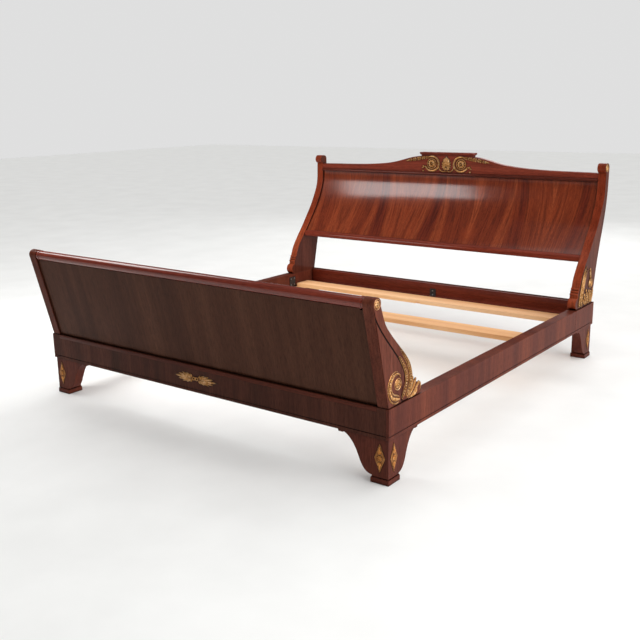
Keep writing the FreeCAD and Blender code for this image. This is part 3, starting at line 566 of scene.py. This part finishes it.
def cut_at_ground():
    """In edit mode, cuts off all of the piece that lies under its ground."""
    bpy.ops.mesh.select_all(action="SELECT")
    bpy.ops.mesh.bisect(plane_co=(0, 0, 0), plane_no=(0, 0, 1), use_fill=True, clear_inner=True)


def petal_cut():
    """One carved petal, 1 long from its root at the origin, 1 wide and 1 tall."""
    bpy.ops.object.select_all(action="DESELECT")
    bpy.ops.mesh.primitive_uv_sphere_add(
        segments=10, ring_count=6, radius=0.5, location=(0.5, 0, 0)
    )
    piece = bpy.context.object
    bpy.ops.object.transform_apply(location=True, rotation=True, scale=True)
    bpy.ops.object.mode_set(mode="EDIT")
    cut_at_ground()
    bpy.ops.mesh.select_all(action="SELECT")
    bpy.ops.transform.resize(value=(1, 1, 2), center_override=(0, 0, 0))
    for part, width, tall in ((0.55, 0.8, 0.85), (0.8, 0.55, 0.7)):
        pick(piece, lambda spot: spot.x > part)
        bpy.ops.transform.resize(value=(1, width, tall), center_override=(part, 0, 0))
    pick(piece, lambda spot: spot.x < 0.3)
    bpy.ops.transform.resize(value=(1, 0.6, 0.6), center_override=(0.3, 0, 0))
    bpy.ops.object.mode_set(mode="OBJECT")
    mark_relief(piece, 1.0)
    return piece


def bead_cut():
    """One carved bead, 1 across and 1 tall, its middle at the origin."""
    bpy.ops.object.select_all(action="DESELECT")
    bpy.ops.mesh.primitive_uv_sphere_add(segments=8, ring_count=6, radius=0.5)
    piece = bpy.context.object
    bpy.ops.object.mode_set(mode="EDIT")
    cut_at_ground()
    bpy.ops.mesh.select_all(action="SELECT")
    bpy.ops.transform.resize(value=(1, 1, 2), center_override=(0, 0, 0))
    bpy.ops.object.mode_set(mode="OBJECT")
    mark_relief(piece, 1.0)
    return piece


petal = petal_cut()
bead = bead_cut()


def face(origin, across, out):
    """The frame of a flat face: along it, up it and out of it, in millimetres."""
    up = Vector((0, 0, 1))
    turned = Matrix((Vector(across), up, Vector(out))).transposed().to_4x4()
    return Matrix.Translation(Vector(origin) / 1000) @ turned @ Matrix.Scale(0.001, 4)


side_face = face((BOARD_FACE, 0, 0), (0, 1, 0), (1, 0, 0))


def cut(pattern, along, up, turn, long, wide, tall, on):
    """One copy of a carved shape on a face, at a place, turned in degrees."""
    piece = add_object("cut", pattern.data.copy())
    size = Matrix.Diagonal((long, wide, tall, 1))
    spin = Matrix.Rotation(math.radians(turn), 4, "Z")
    piece.data.transform(on @ Matrix.Translation((along, up, 0)) @ spin @ size)
    return piece


def strip(points, tall, on, closed=False, full=None):
    """A raised band along (along, up, width) points; full is its carving's height."""
    line = points if closed else smooth_line(points)
    curve = bpy.data.curves.new("strip", "CURVE")
    curve.dimensions = "3D"
    curve.bevel_depth = 0.5
    curve.bevel_resolution = 2
    curve.use_fill_caps = True
    run = curve.splines.new("POLY")
    run.points.add(len(line) - 1)
    for point, (along, up, width) in zip(run.points, line):
        point.co = (along, up, 0, 1)
        point.radius = width
    run.use_cyclic_u = closed
    select_only(add_object("strip", curve))
    bpy.ops.object.convert(target="MESH")
    piece = bpy.context.object
    bpy.ops.object.mode_set(mode="EDIT")
    bpy.ops.mesh.select_all(action="SELECT")
    bpy.ops.mesh.remove_doubles(threshold=0.001)
    bpy.ops.mesh.normals_make_consistent(inside=False)
    widest = max(width for *_, width in line)
    bpy.ops.transform.resize(value=(1, 1, 2 * tall / widest), center_override=(0, 0, 0))
    cut_at_ground()
    bpy.ops.object.mode_set(mode="OBJECT")
    mark_relief(piece, full or tall)
    piece.data.transform(on)
    return piece


def ring(along, up, radius, width, tall, on, count=32):
    """A closed raised ring on a face."""
    turns = [2 * math.pi * k / count for k in range(count)]
    spots = [(along + radius * math.cos(a), up + radius * math.sin(a), width) for a in turns]
    return strip(spots, tall, on, closed=True)


def rosette(along, up, radius, on, count=8, tall=6.0):
    """A rosette: a rim, two rows of petals and an eye."""
    cuts = [ring(along, up, radius * 0.9, radius * 0.2, tall * 0.55, on)]
    for row, (reach, wide, high) in enumerate(((0.86, 0.62, 0.72), (0.55, 0.4, 0.95))):
        for k in range(count):
            turn = 360 / count * (k + 0.5 * row)
            start = radius * 0.1
            a = math.radians(turn)
            cuts.append(cut(
                petal, along + start * math.cos(a), up + start * math.sin(a), turn,
                radius * reach - start, radius * wide * 8 / count, tall * high, on,
            ))
    cuts.append(cut(bead, along, up, 0, radius * 0.36, radius * 0.36, tall, on))
    return cuts


def carving(name, cuts, *replaced, slot="gilding", material=None):
    """Joins the cuts of one carving into one piece, gilds it and fixes it on."""
    select_only(cuts[0])
    for piece in cuts:
        piece.select_set(True)
    bpy.ops.object.join()
    piece = bpy.context.object
    piece.name = name
    piece.data.materials.clear()
    piece.data.materials.append(material or gold)
    bpy.ops.object.shade_smooth_by_angle(angle=math.radians(40))
    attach(piece, "bedstead")
    if replaced:
        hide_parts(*replaced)
    return piece


HEAD_SCROLL = (1172, 1068)
for end, (along, up) in (("foot", FOOT_SCROLL), ("head", HEAD_SCROLL)):
    cuts = rosette(along, up, 22, side_face)
    eye = carving(end + "_rosette_carved_right", cuts, end + "_rosette_right")
    left_hand(eye, end + "_rosette_carved_left", end + "_rosette_left")

# ----------------------------------------------------- gilt foot ornaments
# At the foot of each S curve: an open volute round a boss, two beaded ribbons
# that follow the curve down, and a fan of long leaves that ends in a curl.


def beaded(points, tall, on, pitch=10.5):
    """A ribbon with a row of beads along it and a rim at each side."""
    cuts = [strip(points, tall * 0.45, on, full=tall * 1.3)]
    line = smooth_line(points, 12)
    run = 0.0
    for start, end in zip(line, line[1:]):
        run += math.dist(start[:2], end[:2])
        if run >= pitch:
            run -= pitch
            wide = end[2] * 0.5
            cuts.append(cut(bead, end[0], end[1], 0, wide, wide, tall, on))
    for hand in (-1, 1):
        rim = []
        for before, spot, after in zip(points[:1] + points, points, points[1:] + points[-1:]):
            way = Vector((after[0] - before[0], after[1] - before[1])).normalized()
            shift = hand * spot[2] * 0.42
            rim.append((spot[0] - way.y * shift, spot[1] + way.x * shift, spot[2] * 0.22))
        cuts.append(strip(rim, tall * 0.85, on))
    return cuts


def frond(points, wide, on, count=7, lean=34, tall=6.0):
    """A leaf: a rib along a line, pairs of lobes leaning forward, and a tip."""
    line = smooth_line([(along, up, 0) for along, up in points], 10)
    cuts = []
    last = len(line) - 1
    for k in range(count):
        share = 0.06 + 0.84 * k / count
        spot = line[round(share * last)]
        ahead = line[min(last, round(share * last) + 2)]
        way = math.degrees(math.atan2(ahead[1] - spot[1], ahead[0] - spot[0]))
        swell = math.sin(math.pi * (0.2 + 0.72 * share)) ** 0.8
        long = wide * 0.72 * swell
        for hand in (-1, 1):
            cuts.append(cut(
                petal, spot[0], spot[1], way + hand * lean, long, long * 0.46,
                tall * (0.7 + 0.2 * swell), on,
            ))
    end, before = line[-1], line[-4]
    way = math.degrees(math.atan2(end[1] - before[1], end[0] - before[0]))
    start = line[round(0.8 * last)]
    long = math.dist(start[:2], end[:2])
    cuts.append(cut(petal, start[0], start[1], way, long, wide * 0.3, tall * 0.8, on))
    rib = [(a, b, wide * 0.16 * (1 - 0.6 * k / len(points))) for k, (a, b) in enumerate(points)]
    cuts.append(strip(rib, tall, on))
    return cuts


FOOT_VOLUTE = [
    (-1026, 418, 8), (-1034, 436, 15), (-1057, 446, 20), (-1084, 437, 23), (-1101, 410, 26),
    (-1100, 380, 30), (-1083, 354, 36), (-1056, 342, 38), (-1034, 338, 24),
]
RIBBON_FRONT = [
    (-1042, 517, 7), (-1016, 487, 15), (-990, 448, 18), (-978, 410, 19), (-984, 382, 18),
    (-1000, 350, 16), (-1012, 333, 10),
]
RIBBON_REAR = [
    (-1040, 553, 7), (-1000, 508, 15), (-970, 468, 19), (-953, 430, 20), (-949, 396, 20),
    (-963, 358, 19), (-982, 332, 15),
]
FAN = [
    [(-978, 326, 6), (-952, 356, 15), (-938, 386, 18), (-931, 403, 11)],
    [(-973, 322, 6), (-942, 347, 15), (-920, 374, 18), (-908, 391, 11)],
    [
        (-964, 320, 6), (-928, 333, 14), (-903, 356, 16), (-887, 367, 13), (-875, 360, 11),
        (-872, 345, 9), (-879, 335, 7), (-888, 341, 5),
    ],
    [(-952, 320, 5), (-926, 325, 11), (-908, 334, 12), (-898, 345, 7)],
]

cuts = beaded(FOOT_VOLUTE, 7.4, side_face, 9)
cuts += rosette(-1042, 400, 25, side_face, tall=7.2)
cuts += beaded(RIBBON_FRONT, 6.5, side_face)
cuts += beaded(RIBBON_REAR, 7.2, side_face)
for leaf in FAN:
    cuts.append(strip(leaf, 6.8, side_face))
    cuts.append(strip([(back, up, wide * 0.3) for back, up, wide in leaf[:-1]], 7.6, side_face))
scroll = carving("foot_carving_gilt_right", cuts, "foot_carving_right")
left_hand(scroll, "foot_carving_gilt_left", "foot_carving_left")

# ----------------------------------------------------- gilt head ornaments
# At the foot of each head post: two beaded ribbons up its front edge, acanthus
# leaves spreading behind them, a rosette and a bud rising from it.
HEAD_BOSS = (1010, 438)
BUD = [(1006, 462), (1002, 492), (992, 528)]
HEAD_RIBBONS = [
    [
        (852, 328, 14), (856, 364, 17), (866, 402, 18), (878, 440, 18), (893, 480, 16),
        (914, 517, 12), (936, 545, 6),
    ],
    [
        (886, 326, 14), (884, 362, 17), (892, 400, 18), (904, 438, 18), (918, 474, 15),
        (938, 506, 10), (956, 528, 5),
    ],
]
HEAD_LEAVES = [
    ([(1030, 330), (1046, 372), (1044, 408)], 26),
    ([(1008, 330), (1000, 368), (984, 404)], 28),
    ([(986, 329), (966, 366), (944, 416)], 30),
    ([(964, 328), (938, 356), (920, 392)], 28),
    ([(944, 327), (922, 342), (908, 358)], 22),
    ([(1020, 330), (1020, 366), (1014, 398)], 22),
]
cuts = rosette(*HEAD_BOSS, 21, side_face, tall=7.0)
cuts.append(ring(*HEAD_BOSS, 25, 4, 5, side_face))
cuts += frond(BUD, 26, side_face, count=6, tall=7.0)
for line in HEAD_RIBBONS:
    cuts += beaded(line, 7.0, side_face)
for spine, wide in HEAD_LEAVES:
    cuts += frond(spine, wide, side_face, count=7, tall=7.2)
acanthus = carving("head_carving_gilt_right", cuts, "head_carving_right")
left_hand(acanthus, "head_carving_gilt_left", "head_carving_left")

# ----------------------------------------------------- gilt crest ornaments
# On the middle of the crest: a palmette over a U scroll, a rosette in an open
# ring at each side, and a long spray of leaves above each ring.
crest_face = face((0, 1168, 0), (1, 0, 0), (0, -1, 0))
# Each leaf is its turn from upright in degrees, its reach and its width.
PALMETTE_LEAVES = (
    (0, 74, 19), (21, 62, 18), (43, 49, 17), (66, 40, 15), (92, 35, 14), (120, 31, 13),
    (150, 27, 12),
)
U_SCROLL = [
    (-52, 1042, 6), (-45, 1025, 8), (-25, 1015, 9), (0, 1018, 7), (25, 1015, 9),
    (45, 1025, 8), (52, 1042, 6),
]
cuts = [cut(petal, 0, 1020, 90, 92, 62, 3.5, crest_face)]
for turn, reach, wide in PALMETTE_LEAVES:
    for hand in (-1, 1) if turn else (1,):
        cuts.append(cut(petal, 0, 1041, 90 + hand * turn, reach, wide, 9, crest_face))
for turn, reach in ((0, 46), (26, 38), (54, 30), (84, 25)):
    for hand in (-1, 1) if turn else (1,):
        cuts.append(cut(petal, 0, 1036, 90 + hand * turn, reach, 12, 11.5, crest_face))
cuts.append(cut(bead, 0, 1032, 0, 14, 14, 11.5, crest_face))
cuts.append(strip(U_SCROLL, 8, crest_face))
carving("crest_palmette_gilt", cuts, "crest_palmette")

cuts = []
for hand in (-1, 1):
    cuts += rosette(hand * 104, 1062, 35, crest_face, count=10, tall=10)
    open_ring = [
        (
            hand * (103 + 50 * math.cos(math.radians(a))),
            1062 + 45 * math.sin(math.radians(a)),
            16 - 6 * abs(a - 200) / 150,
        )
        for a in range(60, 341, 20)
    ]
    cuts.append(strip(open_ring, 8, crest_face))
    cuts.append(cut(petal, hand * 150, 1046, 90 - hand * 118, 34, 12, 8, crest_face))
    cuts.append(cut(petal, hand * 152, 1040, 90 - hand * 62, 22, 11, 8, crest_face))
    cuts.append(cut(bead, hand * 166, 1016, 0, 12, 12, 8, crest_face))
carving("crest_roundels_gilt", cuts, "crest_roundels")

cuts = []
for hand in (-1, 1):
    spine = [(hand * 116, 1102), (hand * 165, 1097), (hand * 232, 1086), (hand * 298, 1075)]
    cuts += frond(spine, 36, crest_face, count=10, lean=24, tall=8)
carving("crest_sprays_gilt", cuts, "crest_sprays")

# ---------------------------------------------------- gilt rail and leg work
# A double palm leaf tied in the middle sits on the foot rail, and a carved
# lozenge is let into each outer face of the legs.
rail_face = face((0, -1114, 0), (1, 0, 0), (0, -1, 0))
PALM_UP = 256  # height of the palm leaf's middle
PALM_LEAVES = ((0, 120, 17), (8, 100, 15), (17, 76, 14), (29, 50, 12), (52, 28, 11))
cuts = []
for hand in (-1, 1):
    outward = 0 if hand > 0 else 180
    for turn, reach, wide in PALM_LEAVES:
        for lean in (turn, -turn) if turn else (0,):
            aim = outward + hand * lean
            cuts.append(cut(petal, hand * 16, PALM_UP, aim, reach, wide, 5.5, rail_face))
    for turn, reach in ((5, 66), (16, 46)):
        for lean in (turn, -turn):
            aim = outward + hand * lean
            cuts.append(cut(petal, hand * 15, PALM_UP, aim, reach, 8, 6.4, rail_face))
    cuts.append(ring(hand * 9, PALM_UP, 7, 5, 6, rail_face, 18))
cuts.append(cut(bead, 0, PALM_UP, 0, 11, 17, 7, rail_face))
carving("foot_applique_gilt", cuts, "foot_applique")


LOZENGE_UP = 108  # height of every lozenge's middle


def carved_lozenge(along, on):
    """The carving on one lozenge: a flower in the middle and leaves above and below."""
    cuts = []
    for k in range(8):
        cuts.append(cut(petal, along, LOZENGE_UP, 45 * k + 22.5, 15, 8, 3.4, on))
    for hand in (-1, 1):
        cuts.append(cut(petal, along, LOZENGE_UP + hand * 8, 90 * hand, 46, 12, 3.2, on))
        for lean in (-24, 24):
            aim = 90 * hand + lean
            cuts.append(cut(petal, along, LOZENGE_UP + hand * 12, aim, 26, 9, 3.0, on))
    cuts.append(cut(bead, along, LOZENGE_UP, 0, 10, 10, 4.2, on))
    return cuts


leg_side = face((1020, 0, 0), (0, 1, 0), (1, 0, 0))
leg_front = face((0, -1109, 0), (1, 0, 0), (0, -1, 0))
for end, across in (("foot", -1068), ("head", 1022)):
    for hand in ("left", "right"):
        plates = "%s_%s_lozenge_plates" % (end, hand)
        eased("%s_%s_lozenges" % (end, hand), plates, 1.0, ground_gold, 2)
    cuts = carved_lozenge(across, leg_side)
    if end == "foot":
        cuts += carved_lozenge(979, leg_front)
    flowers = carving(end + "_lozenge_carving_right", cuts, material=lozenge_gold)
    left_hand(flowers, end + "_lozenge_carving_left")

for pattern in (petal, bead):
    bpy.data.objects.remove(pattern)

# -------------------------------------------------------- slats and hardware
# Two sawn and planed pine slats lie loose on pine cleats. Black steel plates
# with zinc plated screws hold the rails to the ends.


def sawn_pine(name, grain):
    """Planed pine, unfinished: pale, with broad growth rings."""
    material, tree = new_material(name)
    place = add_node(tree, "TexCoord").outputs["Object"]
    along = [1.0, 1.0, 1.0]
    along["XYZ".index(grain)] = 0.05
    fibre = add_node(tree, "Mapping", {"Vector": place, "Scale": along})
    sway = add_node(tree, "TexNoise", {"Vector": fibre.outputs[0], "Scale": 9, "Detail": 2.0})
    # Growth rings about 9 mm apart.
    rings = add_node(
        tree, "TexWave",
        {"Vector": fibre.outputs[0], "Scale": 18, "Distortion": 5.0, "Detail": 3.0},
        bands_direction="Y" if grain == "X" else "X",
    )
    tone = add_node(
        tree, "ValToRGB", {"Fac": rings.outputs["Fac"]},
        [(0.1, "#e9ae78"), (0.55, "#f3c08c"), (0.9, "#f8cda0")],
    )
    blotch = add_node(
        tree, "ValToRGB", {"Fac": sway.outputs["Fac"]}, [(0.35, "#d8c0a8"), (0.65, "#ffffff")]
    )
    worn = add_node(
        tree, "Mix", {0: 0.7, 6: tone.outputs["Color"], 7: blotch.outputs["Color"]},
        data_type="RGBA", blend_type="MULTIPLY",
    )
    fuzz = add_node(tree, "TexNoise", {"Vector": fibre.outputs[0], "Scale": 700, "Detail": 2.0})
    sawn = add_node(
        tree, "Bump", {"Height": fuzz.outputs["Fac"], "Strength": 0.3, "Distance": 0.0004}
    )
    skin = add_node(
        tree, "BsdfPrincipled",
        {
            "Base Color": worn.outputs[2], "Roughness": 0.7, "IOR": 1.5,
            "Specular IOR Level": 0.2, "Normal": sawn.outputs["Normal"],
        },
    )
    add_node(tree, "OutputMaterial", {"Surface": skin.outputs["BSDF"]})
    return material


def steel(name, dull, bright, metallic, roughness):
    """Pressed or turned steel with fine scuffs about 2 mm across."""
    material, tree = new_material(name)
    place = add_node(tree, "TexCoord").outputs["Object"]
    scuff = add_node(tree, "TexNoise", {"Vector": place, "Scale": 500, "Detail": 4.0})
    tone = add_node(
        tree, "ValToRGB", {"Fac": scuff.outputs["Fac"]}, [(0.35, dull), (0.65, bright)]
    )
    skin = add_node(
        tree, "BsdfPrincipled",
        {"Base Color": tone.outputs["Color"], "Metallic": metallic, "Roughness": roughness},
    )
    add_node(tree, "OutputMaterial", {"Surface": skin.outputs["BSDF"]})
    return material


slat_pine = sawn_pine("planed_pine", "X")
cleat_pine = sawn_pine("sawn_pine", "Y")
black_steel = steel("black_enamelled_steel", "#17110f", "#241a17", 0.0, 0.55)
zinc_steel = steel("zinc_plated_steel", "#77787a", "#98999c", 1.0, 0.38)

eased("slat_head", "slat_head_planed", 1.5, slat_pine, body="head_slat")
eased("slat_middle", "slat_middle_planed", 1.5, slat_pine, body="middle_slat")
for hand in ("left", "right"):
    eased("slat_cleat_" + hand, "slat_cleat_sawn_" + hand, 1.0, cleat_pine, 2)
eased("rail_plates", "rail_plates_pressed", 0.6, black_steel, 2)
eased("centre_brackets", "centre_brackets_pressed", 0.6, black_steel, 2)
eased("plate_screws", "plate_screw_heads", 1.0, zinc_steel, 2)
